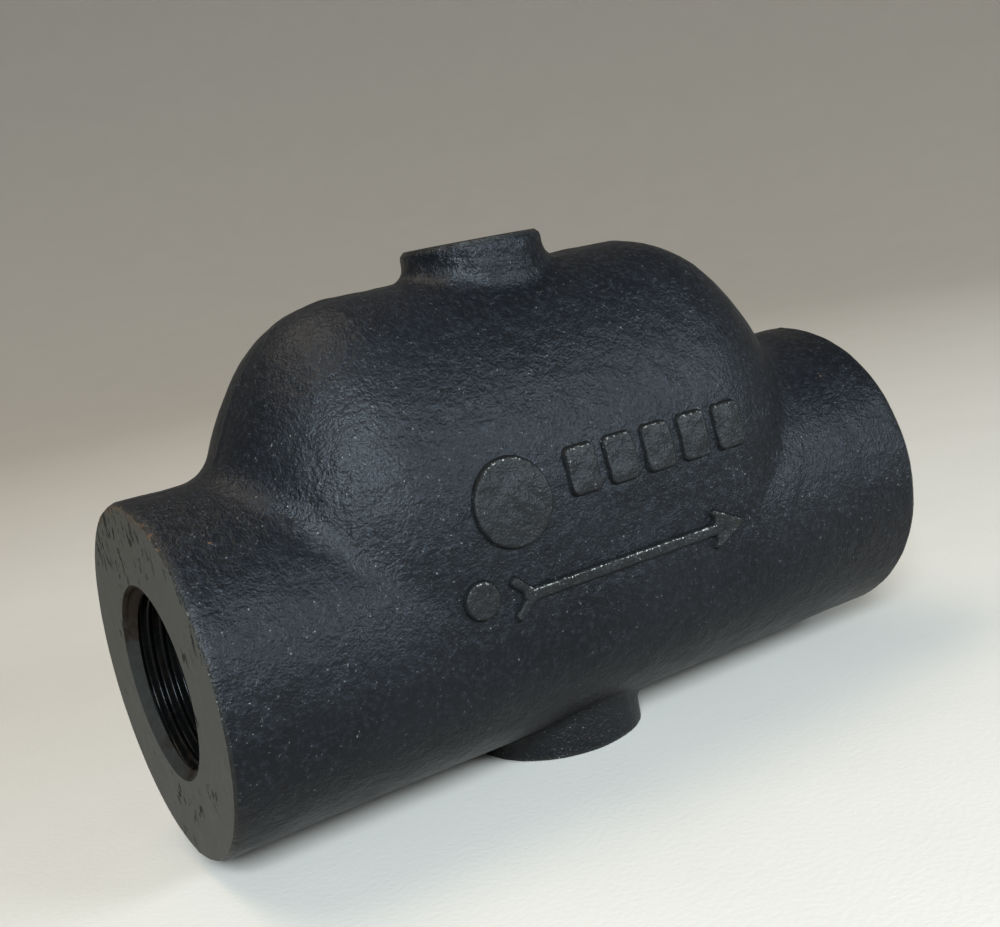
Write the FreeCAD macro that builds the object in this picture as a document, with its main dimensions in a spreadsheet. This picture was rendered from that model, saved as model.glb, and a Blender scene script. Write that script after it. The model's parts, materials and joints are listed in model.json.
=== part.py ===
"""Domed in-line steam trap: a one-piece iron casting with a float valve and a thermostatic air vent.

Frame: millimetres, +Z up, +X the way the flow goes (inlet at -X, outlet at +X). The origin is the
centre of the drain boss's face, which the trap stands on, and the pipe run's axis is
dims.axis_height above it. Every size is a cell of the sheet "dims" or an expression of its cells.
"""
import FreeCAD, Part
import os

import Sketcher

V = FreeCAD.Vector
doc = FreeCAD.newDocument("steam_trap")

# --------------------------------------------------------------------------- driving dimensions

DIMENSIONS = {
    # casting, outside
    "overall_length": 152.4,  # face to face, 6 inches
    "run_radius": 31.75,  # 2.5 inch barrel
    "axis_height": 35.4,  # drain boss face to run axis
    "dome_half_straight": 30.0,  # centre to the axis of each rounded dome end
    "dome_spring": 14.3,  # run axis to where the dome sides start to curve in
    "dome_rise": 58.0,  # run axis to dome crown
    "crown_radius": 25.0,
    "valley_fillet": 8.0,  # dome end to barrel, over the top of the barrel
    "valley_fillet_low": 1.0,  # the same, where it fades out on the sides
    "top_boss_radius": 13.6,
    "top_boss_rise": 63.4,  # run axis to the top boss face
    "drain_boss_radius": 17.0,
    "top_boss_fillet": 4.0,
    "drain_boss_fillet": 1.6,
    "edge_round": 0.8,
    # casting, inside
    "wall": 5.5,
    "hollow_half_straight": 27.5,
    "web": 5.0,  # thickness of the cast partition
    "web_face": 37.0,  # centre to the inlet side of the upright web
    "ceiling": 36.0,  # run axis to the underside of the level web
    "carrier_boss_start": 35.5,
    "carrier_boss_end": 45.5,
    "carrier_boss_radius": 17.0,
    "vent_boss_low": 34.5,
    "vent_boss_high": 42.5,
    "vent_boss_radius": 12.5,
    "drain_pad_radius": 16.0,
    "drain_pad_top": 13.0,
    # tapped ports: each radius is the crest of the pipe thread
    "port_radius": 14.85,  # 1 inch pipe thread
    "port_mouth_radius": 17.4,
    "port_mouth": 2.0,
    "port_thread": 15.0,
    "port_relief_radius": 15.4,  # cored way inboard of the outlet's thread
    "vent_port_radius": 9.16,  # 1/2 inch pipe thread
    "drain_port_radius": 11.83,  # 3/4 inch pipe thread
    "port_chamfer": 1.2,
    "plug_recess": 1.0,
    "thread_gap": 0.05,
    # raised marks, on both sides
    "mark_height": 1.0,
    "mark_inset": 20.0,
    "arrow_level": 3.2,
    "arrow_tail": 22.5,
    "arrow_tip": 28.5,
    "arrow_shaft": 2.4,
    "arrow_head": 7.0,
    "pad_start": -7.5,
    "pad_width": 6.4,
    "pad_pitch": 8.4,
    "pad_low": 17.2,
    "pad_high": 25.8,
    "disc_centre": 19.5,
    "disc_radius": 8.0,
    "disc_level": 19.5,
    "dot_centre": 29.0,
    "dot_radius": 3.6,
    "dot_level": 5.0,
    # inlet screen and its ring, measured from the centre towards the inlet
    "screen_seat": 57.1,  # the lip that the rim sits against
    "screen_lip_radius": 13.4,
    "screen_rim_radius": 14.7,
    "screen_radius": 13.2,
    "screen_sheet": 0.6,
    "screen_end": 47.0,
    "screen_rim": 0.8,
    "screen_hole": 1.1,
    "screen_pitch": 3.6,
    "ring_groove_radius": 15.7,
    "ring_groove": 1.3,
    "ring_outer_radius": 15.5,
    "ring_inner_radius": 12.7,
    "ring_thickness": 1.1,
    "ring_slot": 5.0,
    # valve carrier and main seat, measured from the centre towards the outlet
    "carrier_face": 34.0,
    "carrier_radius": 11.9,
    "carrier_flange_radius": 14.2,
    "carrier_flange": 3.0,
    "gasket": 1.0,
    "seat_radius": 4.4,
    "seat_depth": 6.0,
    "seat_nose_radius": 3.9,
    "seat_nose": 2.5,
    "orifice_radius": 1.5,
    "carrier_passage": 3.2,
    "carrier_hex": 16.2,  # socket, across corners
    "carrier_hex_depth": 5.0,
    # float lever, its bracket and pivot
    "pivot_at": 28.87,
    "pivot_rise": 7.0,  # above the run axis
    "ball_radius": 3.0,
    "holder_radius": 3.6,
    "holder_length": 2.6,
    "pin_radius": 1.0,
    "pin_gap": 0.05,
    "pin_half_length": 5.9,
    "hub_radius": 2.6,
    "hub_half_width": 3.0,
    "ear_inside": 3.2,
    "ear_sheet": 1.2,
    "ear_top": 9.8,
    "bracket_sheet": 1.0,
    "bracket_half_width": 9.7,
    "bracket_low": 4.6,
    "stop_at": 23.8,
    "stop_low": 10.0,
    "stop_sheet": 1.0,
    "screw_offset": 7.2,
    "screw_head_radius": 2.0,
    "screw_head": 1.3,
    "screw_radius": 1.2,
    "screw_length": 7.0,
    "clip_radius": 2.2,
    "clip_sheet": 0.5,
    "clip_groove_radius": 0.7,
    "clip_opening": 1.2,
    "arm_half_width": 2.4,
    "arm_low": 5.5,
    "arm_high": 8.5,
    "plate": 1.5,
    "plate_low": 4.2,
    # float, measured from the centre
    "float_radius": 11.0,
    "float_sheet": 0.4,
    "float_corner": 3.0,
    "float_outlet_end": 15.0,
    "float_seam": 13.0,
    "float_inlet_end": 41.0,
    "float_lap": 3.0,
    "stud_radius": 2.0,
    "stud_flange_radius": 4.5,
    "stud_flange": 1.0,
    "stud_end": 19.6,
    "nut_corners": 7.2,
    "nut_height": 2.4,
    # thermostatic air vent, heights above the run axis
    "vent_radius": 8.0,
    "vent_flange_radius": 9.0,
    "vent_flange": 2.0,
    "vent_low": 22.6,
    "vent_shoulder": 25.2,
    "vent_skirt_bore": 7.2,
    "vent_bore": 6.9,
    "vent_seat_low": 31.0,
    "vent_seat_high": 34.0,
    "vent_seat_radius": 3.2,
    "vent_orifice_radius": 1.2,
    "vent_passage_radius": 2.2,
    "vent_hex": 9.2,  # socket, across corners
    "vent_hex_depth": 3.0,
    "capsule_clip": 1.0,
    "capsule_clip_groove_radius": 7.55,
    "capsule_clip_radius": 7.5,
    "capsule_clip_bore": 6.3,
    "spider_radius": 7.15,
    "spider_sheet": 0.8,
    "spider_slot_radius": 1.6,
    "capsule_radius": 6.0,
    "capsule_top": 28.0,
    "capsule_sheet": 0.4,
    "diaphragm_sheet": 0.3,
    "diaphragm_hole_gap": 0.05,
    "vent_valve_radius": 1.9,
    "vent_valve_stem": 0.9,
    "vent_lift": 1.2,
    # plugs
    "top_plug_length": 9.0,
    "top_plug_hex": 11.0,
    "drain_plug_length": 10.5,
    "drain_plug_hex": 14.6,
    "plug_hex_depth": 6.0,
}

dims = doc.addObject("Spreadsheet::Sheet", "dims")
for row, (alias, number) in enumerate(DIMENSIONS.items(), 1):
    dims.set(f"A{row}", alias)
    dims.set(f"B{row}", str(number))
    dims.setAlias(f"B{row}", alias)
doc.recompute()


def size(expression):
    """The value in millimetres of an expression of the sheet's cells."""
    found = dims.evalExpression(expression.replace("dims.", ""))
    return float(getattr(found, "Value", found))


# --------------------------------------------------------------------------- building blocks

TURNS = {
    "X": FreeCAD.Rotation(V(0, 1, 0), 90),
    "Y": FreeCAD.Rotation(V(1, 0, 0), -90),
    "Z": FreeCAD.Rotation(),
}
AXIS = "dims.axis_height"
finished = []


def bind(obj, **expressions):
    """Bind properties to expressions; a double underscore stands for a dot."""
    for name, expression in expressions.items():
        obj.setExpression(name.replace("__", "."), expression)
    return obj


def place(obj, x="0", y="0", z="0", turn=FreeCAD.Rotation()):
    obj.Placement = FreeCAD.Placement(V(), turn)
    return bind(obj, Placement__Base__x=x, Placement__Base__y=y, Placement__Base__z=z)


def rod(name, radius, length, along="Z", **at):
    """A round bar that starts at the given point and runs along one axis."""
    bar = doc.addObject("Part::Cylinder", name)
    bind(bar, Radius=radius, Height=length)
    return place(bar, turn=TURNS[along], **at)


def block(name, length, width, height, x, y, z):
    """A box given by its sizes and its lowest corner."""
    return place(bind(doc.addObject("Part::Box", name), Length=length, Width=width, Height=height), x, y, z)


def ball(name, radius, **at):
    return place(bind(doc.addObject("Part::Sphere", name), Radius=radius), **at)


def cone(name, start_radius, end_radius, length, along="Z", **at):
    frustum = doc.addObject("Part::Cone", name)
    bind(frustum, Radius1=start_radius, Radius2=end_radius, Height=length)
    return place(frustum, turn=TURNS[along], **at)


def hexagon(name, across_corners, length, along="Z", **at):
    """A hexagonal bar, as wide across its corners as given."""
    bar = doc.addObject("Part::Prism", name)
    bar.Polygon = 6
    bind(bar, Circumradius=f"({across_corners}) / 2", Height=length)
    return place(bar, turn=TURNS[along], **at)


def fuse(name, *parts):
    joined = doc.addObject("Part::MultiFuse", name)
    joined.Shapes = list(parts)
    joined.Refine = True
    return joined


def cut(name, base, *tools):
    result = doc.addObject("Part::Cut", name)
    result.Base = base
    result.Tool = tools[0] if len(tools) == 1 else fuse(name + "_tools", *tools)
    result.Refine = True
    return result


def common(name, *parts):
    shared = doc.addObject("Part::MultiCommon", name)
    shared.Shapes = list(parts)
    return shared


def finish(obj, label):
    """Name a sub-part, and put it on the list of those that are written out."""
    obj.Label = label
    finished.append(obj)
    return obj


def polyline(sketch, corners):
    """Draw a closed outline through (across, up) corners, each held by its two expressions."""
    points = [V(size(across), size(up), 0) for across, up in corners]
    count = len(points)
    for i, point in enumerate(points):
        sketch.addGeometry(Part.LineSegment(point, points[(i + 1) % count]), False)
    for i, (across, up) in enumerate(corners):
        sketch.addConstraint(Sketcher.Constraint("Coincident", i, 2, (i + 1) % count, 1))
        for kind, expression in (("DistanceX", across), ("DistanceY", up)):
            number = sketch.addConstraint(Sketcher.Constraint(kind, -1, 1, i, 1, size(expression)))
            sketch.setExpression(f"Constraints[{number}]", expression)


def upright(name):
    """A free sketch on the XZ plane."""
    sketch = doc.addObject("Sketcher::SketchObject", name)
    sketch.Placement = FreeCAD.Placement(V(), FreeCAD.Rotation(V(1, 0, 0), 90))
    return sketch


def slab(name, corners, width, z=AXIS):
    """A plate cut to an outline of (x, z) corners, and centred across the run."""
    sketch = upright(name + "_outline")
    polyline(sketch, corners)
    plate = doc.addObject("Part::Extrusion", name)
    plate.Base = sketch
    plate.DirMode = "Custom"
    plate.Dir = V(0, 1, 0)
    plate.Solid = True
    plate.Symmetric = True
    bind(plate, LengthFwd=width)
    return place(plate, z=z)


def turned(label, outline, along="X", z=AXIS):
    """A lathe-turned PartDesign body, from (axial, radial) corners given as expressions.

    The outline is drawn on the body's XZ plane, and turned about its X or Z axis.
    """
    body = doc.addObject("PartDesign::Body", label)
    sketch = body.newObject("Sketcher::SketchObject", label + "_outline")
    plane = next(f for f in body.Origin.OriginFeatures if f.Role == "XZ_Plane")
    sketch.AttachmentSupport = (plane, [""])
    sketch.MapMode = "FlatFace"
    polyline(sketch, outline if along == "X" else [(r, a) for a, r in outline])
    doc.recompute()
    turning = body.newObject("PartDesign::Revolution", label + "_turning")
    turning.Profile = sketch
    turning.ReferenceAxis = (sketch, ["H_Axis" if along == "X" else "V_Axis"])
    turning.Angle = 360
    body.Tip = turning
    return place(body, z=z)


def rounded(name, base, test, radius):
    """Round the edges of base that pass the test; radius gives the size at a point."""
    doc.recompute()
    found = []
    for number, edge in enumerate(base.Shape.Edges, 1):
        first, last = edge.ParameterRange
        if test(edge.valueAt((first + last) / 2)):
            found.append((number, radius(edge.valueAt(first)), radius(edge.valueAt(last))))
    if not found:
        raise RuntimeError(f"{name}: no such edge")
    rounding = doc.addObject("Part::Fillet", name)
    rounding.Base = base
    rounding.Edges = found
    doc.recompute()
    if rounding.Shape.isNull() or not rounding.Shape.isValid():
        raise RuntimeError(f"{name}: the rounding failed on {found}")
    print(f"{name}: {len(found)} edges, {base.Shape.Volume:.0f} to {rounding.Shape.Volume:.0f} mm3")
    return rounding


# --------------------------------------------------------------------------- casting


def chamber(name, offset, half_straight, round_keel=False):
    """The domed chamber's outline moved outwards by offset: a half section, turned and extruded.

    From the run axis up, the section is an upright side, a long-radius shoulder and a crown arc,
    each tangent to the next. Below the axis it is half round, or it stops level with the axis.
    """
    sketch = upright(name + "_section")
    half_width = f"dims.run_radius + ({offset})"
    crown = f"dims.crown_radius + ({offset})"
    top = f"dims.dome_rise + ({offset})"
    wide, spring, round_top, rise = (size(e) for e in (half_width, "dims.dome_spring", crown, top))
    centre_gap = rise - round_top - spring
    shoulder = (wide**2 + centre_gap**2 - round_top**2) / (2 * (wide - round_top))
    angle = V(1, 0, 0).getAngle(V(shoulder - wide, centre_gap, 0))
    quarter = 1.5707963267948966
    up = V(0, 0, 1)
    keel = Part.ArcOfCircle(Part.Circle(V(), up, wide), -quarter, 0)
    lines = [
        keel if round_keel else Part.LineSegment(V(), V(wide, 0, 0)),
        Part.LineSegment(V(wide, 0, 0), V(wide, spring, 0)),
        Part.ArcOfCircle(Part.Circle(V(wide - shoulder, spring, 0), up, shoulder), 0, angle),
        Part.ArcOfCircle(Part.Circle(V(0, rise - round_top, 0), up, round_top), angle, quarter),
        Part.LineSegment(V(0, rise, 0), V(0, -wide if round_keel else 0, 0)),
    ]
    for line in lines:
        sketch.addGeometry(line, False)
    for first, second in ((0, 1), (1, 2), (3, 4), (4, 0)):
        sketch.addConstraint(Sketcher.Constraint("Coincident", first, 2, second, 1))
    rules = [
        ("Coincident", 0, 3, -1, 1) if round_keel else ("Coincident", 0, 1, -1, 1),
        ("PointOnObject", 1, 1, -1),
        ("Vertical", 1),
        ("PointOnObject", 3, 3, -2),
        ("PointOnObject", 4, 1, -2),
        ("Horizontal", 2, 3, 1, 2),
        ("Tangent", 2, 2, 3, 1),
    ]
    if round_keel:
        rules.append(("PointOnObject", 4, 2, -2))
    for rule in rules:
        sketch.addConstraint(Sketcher.Constraint(*rule))
    sizes = [
        (("Radius", 0) if round_keel else ("DistanceX", -1, 1, 0, 2), half_width),
        (("Radius", 3), crown),
        (("DistanceY", -1, 1, 1, 2), "dims.dome_spring"),
        (("DistanceY", -1, 1, 4, 1), top),
    ]
    for rule, expression in sizes:
        number = sketch.addConstraint(Sketcher.Constraint(*rule, size(expression)))
        sketch.setExpression(f"Constraints[{number}]", expression)
    doc.recompute()
    pieces = []
    for side, turn in (("inlet", 90), ("outlet", -90)):
        end = doc.addObject("Part::Revolution", f"{name}_{side}_end")
        end.Source = sketch
        end.Axis = V(0, 0, 1)
        end.Angle = 360
        end.Solid = True
        sign = "-" if side == "inlet" else ""
        pieces.append(place(end, f"{sign}{half_straight}", z=AXIS))
        half = doc.addObject("Part::Extrusion", f"{name}_{side}_half")
        half.Base = sketch
        half.DirMode = "Custom"
        half.Dir = V(0, 1, 0)
        half.Solid = True
        half.Symmetric = True
        bind(half, LengthFwd=f"2 * {half_straight}")
        pieces.append(place(half, z=AXIS, turn=FreeCAD.Rotation(V(0, 0, 1), turn)))
    return fuse(name, *pieces)


def above_axis(point):
    return point.z - size(AXIS)


def is_valley(point):
    """On the line where a dome end meets the barrel."""
    on_barrel = abs(V(0, point.y, above_axis(point)).Length - size("dims.run_radius")) < 0.01
    beyond = size("dims.dome_half_straight") + 0.5 < abs(point.x) < size("dims.overall_length / 2 - 1")
    return on_barrel and beyond and above_axis(point) > 0.5


def valley_radius(point):
    """The blend between dome end and barrel: full size on top, fading out low on the sides."""
    return size("dims.valley_fillet_low" if above_axis(point) < 0.01 else "dims.valley_fillet")


def is_top_boss_root(point):
    on_boss = abs(V(point.x, point.y, 0).Length - size("dims.top_boss_radius")) < 0.01
    return on_boss and 40 < above_axis(point) < size("dims.dome_rise + 1")


def is_drain_boss_root(point):
    on_boss = abs(V(point.x, point.y, 0).Length - size("dims.drain_boss_radius")) < 0.01
    return on_boss and 1 < point.z < size(AXIS)


def is_rim(point):
    """On the outer edge of an end face or a boss face."""
    end = abs(abs(point.x) - size("dims.overall_length / 2")) < 0.01
    boss = point.z < 0.01 or abs(above_axis(point) - size("dims.top_boss_rise")) < 0.01
    return end or boss


def rough_casting():
    """The casting's outside: barrel, domed chamber and two bosses, blended as a foundry pattern is."""
    half = "dims.overall_length / 2"
    barrel = rod("barrel", "dims.run_radius", "dims.overall_length", "X", x=f"-{half}", z=AXIS)
    dome = chamber("dome", "0", "dims.dome_half_straight")
    hull = rounded("valleys", fuse("hull", barrel, dome), is_valley, valley_radius)
    top = rod("top_boss", "dims.top_boss_radius", "dims.top_boss_rise", z=AXIS)
    drain = rod("drain_boss", "dims.drain_boss_radius", AXIS)
    steps = [
        ("top_boss_root", top, is_top_boss_root, "dims.top_boss_fillet"),
        ("drain_boss_root", drain, is_drain_boss_root, "dims.drain_boss_fillet"),
    ]
    for name, boss, test, radius in steps:
        hull = rounded(name, fuse(f"{name}_raw", hull, boss), test, lambda point: size(radius))
    return rounded("rims", hull, is_rim, lambda point: size("dims.edge_round"))


def marks():
    """Raised marks that follow the casting's skin, on both sides.

    A row of blank pads, a plain disc, a dot and the arrow that shows which way the flow goes.
    """
    skin = chamber("mark_skin", "dims.mark_height", "dims.dome_half_straight")
    deep = "2 * dims.run_radius + 10"
    level, tail, tip = "dims.arrow_level", "-dims.arrow_tail", "dims.arrow_tip"
    shaft, head = "dims.arrow_shaft / 2", "dims.arrow_head / 2"
    arrow = [
        (tail, f"{level} - {head}"),
        (f"{tail} + {head}", f"{level} - {shaft}"),
        (f"{tip} - dims.arrow_head", f"{level} - {shaft}"),
        (f"{tip} - dims.arrow_head", f"{level} - {head}"),
        (tip, level),
        (f"{tip} - dims.arrow_head", f"{level} + {head}"),
        (f"{tip} - dims.arrow_head", f"{level} + {shaft}"),
        (f"{tail} + {head}", f"{level} + {shaft}"),
        (tail, f"{level} + {head}"),
        (f"{tail} + {head}", level),
    ]
    pads = []
    for number in range(5):
        left = f"dims.pad_start + {number} * dims.pad_pitch"
        right = f"{left} + dims.pad_width"
        low, high = "dims.pad_low", "dims.pad_high"
        outline = [(left, low), (right, low), (right, high), (left, high)]
        pads.append(slab(f"pad_{number}", outline, deep))
    back = "-(dims.run_radius + 5)"
    disc_at = {"x": "-dims.disc_centre", "y": back, "z": f"{AXIS} + dims.disc_level"}
    dot_at = {"x": "-dims.dot_centre", "y": back, "z": f"{AXIS} + dims.dot_level"}
    disc = rod("disc", "dims.disc_radius", deep, "Y", **disc_at)
    dot = rod("dot", "dims.dot_radius", deep, "Y", **dot_at)
    stamps = fuse("stamps", slab("arrow", arrow, deep), *pads, disc, dot)
    core = block(
        "mark_core",
        "4 * dims.run_radius",
        "2 * dims.mark_inset",
        "dims.dome_rise",
        "-2 * dims.run_radius",
        "-dims.mark_inset",
        AXIS,
    )
    return cut("marks", common("mark_relief", skin, stamps), core)


def interior():
    """The chamber inside: the hollow less the cast partition, its two bosses and the drain pad."""
    hollow = chamber("hollow", "-dims.wall", "dims.hollow_half_straight", True)
    wide, tall = "2 * dims.run_radius", "dims.run_radius + dims.dome_rise"
    upright_web = block(
        "upright_web",
        "dims.web",
        wide,
        f"{AXIS} + dims.ceiling + 1",
        "dims.web_face",
        "-dims.run_radius",
        "0",
    )
    level_web = block(
        "level_web",
        "dims.web_face + dims.web + dims.overall_length / 2",
        wide,
        "dims.web",
        "-dims.overall_length / 2",
        "-dims.run_radius",
        f"{AXIS} + dims.ceiling",
    )
    carrier_boss = rod(
        "carrier_boss",
        "dims.carrier_boss_radius",
        "dims.carrier_boss_end - dims.carrier_boss_start",
        "X",
        x="dims.carrier_boss_start",
        z=AXIS,
    )
    vent_boss = rod(
        "vent_boss",
        "dims.vent_boss_radius",
        "dims.vent_boss_high - dims.vent_boss_low",
        z=f"{AXIS} + dims.vent_boss_low",
    )
    drain_pad = rod("drain_pad", "dims.drain_pad_radius", "dims.drain_pad_top")
    return cut("interior", hollow, upright_web, level_web, carrier_boss, vent_boss, drain_pad)


def machining():
    """Everything cut into the casting on the machine: ports, mouths, lips, grooves and tapped holes."""
    half = "dims.overall_length / 2"
    mouth_slope = "dims.port_radius + 0.6"
    ring_end = "dims.screen_seat + dims.screen_rim + dims.ring_groove"
    thread_end = f"{half} - dims.port_mouth - dims.port_thread"
    vent_low = f"{AXIS} + dims.vent_boss_low - 2"
    top_face = f"{AXIS} + dims.top_boss_rise"
    tools = [
        rod("inlet_bore", "dims.port_radius", f"{half} - dims.screen_seat", "X", x=f"-{half}", z=AXIS),
        rod("inlet_lip", "dims.screen_lip_radius", "12", "X", x="-dims.screen_seat", z=AXIS),
        rod("ring_groove", "dims.ring_groove_radius", "dims.ring_groove", "X", x=f"-({ring_end})", z=AXIS),
        rod("outlet_bore", "dims.port_radius", f"{half} - 50", "X", x="50", z=AXIS),
        rod("outlet_relief", "dims.port_relief_radius", f"{thread_end} - 48", "X", x="48", z=AXIS),
        rod("carrier_hole", "dims.carrier_radius + dims.thread_gap", "20", "X", x="30", z=AXIS),
        rod("vent_hole", "dims.vent_radius + dims.thread_gap", "14", z=vent_low),
        rod("top_port", "dims.vent_port_radius", "20", z=f"{top_face} - 16"),
        rod("drain_port", "dims.drain_port_radius", "dims.drain_pad_top + 4", z="-1"),
    ]
    mouths = [
        ("inlet_mouth", "dims.port_mouth_radius", mouth_slope, f"-{half}"),
        ("outlet_mouth", mouth_slope, "dims.port_mouth_radius", f"{half} - dims.port_mouth"),
    ]
    for name, start, end, x in mouths:
        tools.append(cone(name, start, end, "dims.port_mouth", "X", x=x, z=AXIS))
    chamfer = "dims.port_chamfer"
    for name, radius, wide_first, z in (
        ("top_chamfer", "dims.vent_port_radius", False, f"{top_face} - {chamfer}"),
        ("drain_chamfer", "dims.drain_port_radius", True, "0"),
    ):
        wide, narrow = f"{radius} + {chamfer}", radius
        ends = (wide, narrow) if wide_first else (narrow, wide)
        tools.append(cone(name, *ends, chamfer, z=z))
    return fuse("machining", *tools)


finish(cut("casting", fuse("blank", rough_casting(), marks()), interior(), machining()), "body")

# --------------------------------------------------------------------------- inlet screen


def screen():
    """A perforated thimble with a rim, which keeps grit out of the valve."""
    seat, end = "-dims.screen_seat", "-dims.screen_end"
    thimble = turned(
        "screen_thimble",
        [
            (f"{seat} - dims.screen_rim", "dims.screen_radius - dims.screen_sheet"),
            (f"{seat} - dims.screen_rim", "dims.screen_rim_radius"),
            (seat, "dims.screen_rim_radius"),
            (seat, "dims.screen_radius"),
            (f"{end} - 2", "dims.screen_radius"),
            (end, "dims.screen_radius - 2"),
            (end, "0"),
            (f"{end} - dims.screen_sheet", "0"),
            (f"{end} - dims.screen_sheet", "dims.screen_radius - 2.25"),
            (f"{end} - 2.25", "dims.screen_radius - dims.screen_sheet"),
        ],
    )
    holes = []
    rows = 0.8660254037844386  # height of a triangle of holes, in pitches
    for row in range(-3, 4):
        for column in range(-4, 5):
            across, up = column + (row % 2) / 2, row * rows
            if (across**2 + up**2) ** 0.5 > 2.9:
                continue
            y = f"dims.screen_pitch * {across:.1f}"
            z = f"{AXIS} + dims.screen_pitch * {up:.4f}"
            name = f"screen_hole_{len(holes)}"
            holes.append(rod(name, "dims.screen_hole", "4", "X", x=f"{end} - 3", y=y, z=z))
    around = 20
    for turn in range(around):
        name = f"screen_side_hole_{turn}"
        spoke = doc.addObject("Part::Cylinder", name)
        bind(spoke, Radius="dims.screen_hole", Height="dims.screen_radius + 2")
        place(spoke, "-(dims.screen_seat + dims.screen_end) / 2", z=AXIS)
        spoke.Placement.Rotation = FreeCAD.Rotation(V(1, 0, 0), 360 * (turn + 0.5) / around)
        holes.append(spoke)
    return finish(cut("perforated_screen", thimble, *holes), "inlet_screen")


screen()

ring_start = "-(dims.screen_seat + dims.screen_rim + dims.ring_thickness)"
ring_end = "-(dims.screen_seat + dims.screen_rim)"
full_ring = turned(
    "full_ring",
    [
        (ring_start, "dims.ring_inner_radius"),
        (ring_start, "dims.ring_outer_radius"),
        (ring_end, "dims.ring_outer_radius"),
        (ring_end, "dims.ring_inner_radius"),
    ],
)
slot_start = f"{ring_start} - 1"
ring_slot = block("ring_slot", "4", "dims.ring_slot", "20", slot_start, "-dims.ring_slot / 2", AXIS)
finish(cut("slotted_ring", full_ring, ring_slot), "screen_ring")

# --------------------------------------------------------------------------- valve carrier and seat

flange_start = "dims.carrier_boss_end + dims.gasket"
flange_end = f"{flange_start} + dims.carrier_flange"
hex_bottom = f"{flange_end} - dims.carrier_hex_depth"
seat_end = "dims.carrier_face + dims.seat_depth"
SCREWS = (("front", "-dims.screw_offset"), ("back", "dims.screw_offset"))
screw_holes = []
for side, y in SCREWS:
    at = {"x": "dims.carrier_face - 1", "y": y, "z": AXIS}
    screw_holes.append(rod(f"carrier_hole_{side}", "dims.screw_radius", "dims.screw_length", "X", **at))
carrier = turned(
    "carrier_turning",
    [
        ("dims.carrier_face", "dims.seat_radius"),
        ("dims.carrier_face", "dims.carrier_radius - 0.8"),
        ("dims.carrier_face + 0.8", "dims.carrier_radius"),
        (flange_start, "dims.carrier_radius"),
        (flange_start, "dims.carrier_flange_radius"),
        (f"{flange_end} - 0.6", "dims.carrier_flange_radius"),
        (flange_end, "dims.carrier_flange_radius - 0.6"),
        (flange_end, "dims.carrier_passage"),
        (seat_end, "dims.carrier_passage"),
        (seat_end, "dims.seat_radius"),
    ],
)
socket_depth = "dims.carrier_hex_depth + 1"
carrier_socket = hexagon("carrier_socket", "dims.carrier_hex", socket_depth, "X", x=hex_bottom, z=AXIS)
finish(cut("carrier", carrier, carrier_socket, *screw_holes), "valve_carrier")

finish(
    turned(
        "carrier_gasket",
        [
            ("dims.carrier_boss_end", "dims.carrier_radius + dims.thread_gap"),
            ("dims.carrier_boss_end", "dims.carrier_flange_radius"),
            (flange_start, "dims.carrier_flange_radius"),
            (flange_start, "dims.carrier_radius + dims.thread_gap"),
        ],
    ),
    "carrier_gasket",
)

nose = "dims.carrier_face - dims.seat_nose"
finish(
    turned(
        "seat_turning",
        [
            (nose, "dims.orifice_radius"),
            (nose, "dims.seat_nose_radius - 1"),
            (f"{nose} + 1", "dims.seat_nose_radius"),
            ("dims.carrier_face", "dims.seat_nose_radius"),
            ("dims.carrier_face", "dims.seat_radius"),
            (seat_end, "dims.seat_radius"),
            (seat_end, "dims.carrier_passage - 0.4"),
            (f"{seat_end} - 2.5", "dims.orifice_radius"),
        ],
    ),
    "main_seat",
)

# --------------------------------------------------------------------------- lever bracket and pivot

PIVOT = {"x": "dims.pivot_at", "z": f"{AXIS} + dims.pivot_rise"}
plate_back = "dims.carrier_face - dims.bracket_sheet"


def bracket():
    """A folded bracket: a base plate under two screws, two ears for the pivot and a stop across them."""
    base = block(
        "bracket_base",
        "dims.bracket_sheet",
        "2 * dims.bracket_half_width",
        "2 * dims.bracket_low",
        plate_back,
        "-dims.bracket_half_width",
        f"{AXIS} - dims.bracket_low",
    )
    outer, inner = "2 * (dims.ear_inside + dims.ear_sheet)", "2 * dims.ear_inside"
    neck = block(
        "bracket_neck",
        "dims.bracket_sheet",
        outer,
        "dims.ear_top",
        plate_back,
        "-(dims.ear_inside + dims.ear_sheet)",
        AXIS,
    )
    ear_outline = [
        (f"{plate_back} + 0.5", "4.2"),
        (f"{plate_back} + 0.5", "dims.ear_top"),
        ("dims.stop_at + dims.stop_sheet", "dims.stop_low + dims.stop_sheet"),
        ("dims.stop_at", "dims.stop_low + dims.stop_sheet"),
        ("dims.stop_at", "dims.stop_low - 0.6"),
        ("dims.pivot_at - 2.4", "dims.pivot_rise - 2.2"),
        ("dims.pivot_at - 1", "4.2"),
    ]
    ears = cut("ears", slab("ear_pair", ear_outline, outer), slab("ear_gap", ear_outline, inner))
    stop = block(
        "bracket_stop",
        "dims.stop_sheet",
        outer,
        "dims.stop_sheet",
        "dims.stop_at",
        "-(dims.ear_inside + dims.ear_sheet)",
        f"{AXIS} + dims.stop_low",
    )
    drill_start = f"{plate_back} - 1"
    holes = [
        rod("pivot_hole", "dims.pin_radius", "20", "Y", y="-10", **PIVOT),
        rod("nose_hole", "dims.seat_nose_radius + 0.2", "4", "X", x=drill_start, z=AXIS),
    ]
    for side, y in SCREWS:
        holes.append(rod(f"bracket_hole_{side}", "dims.screw_radius", "4", "X", x=drill_start, y=y, z=AXIS))
    return finish(cut("bracket", fuse("bracket_blank", base, neck, ears, stop), *holes), "lever_bracket")


bracket()


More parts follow.
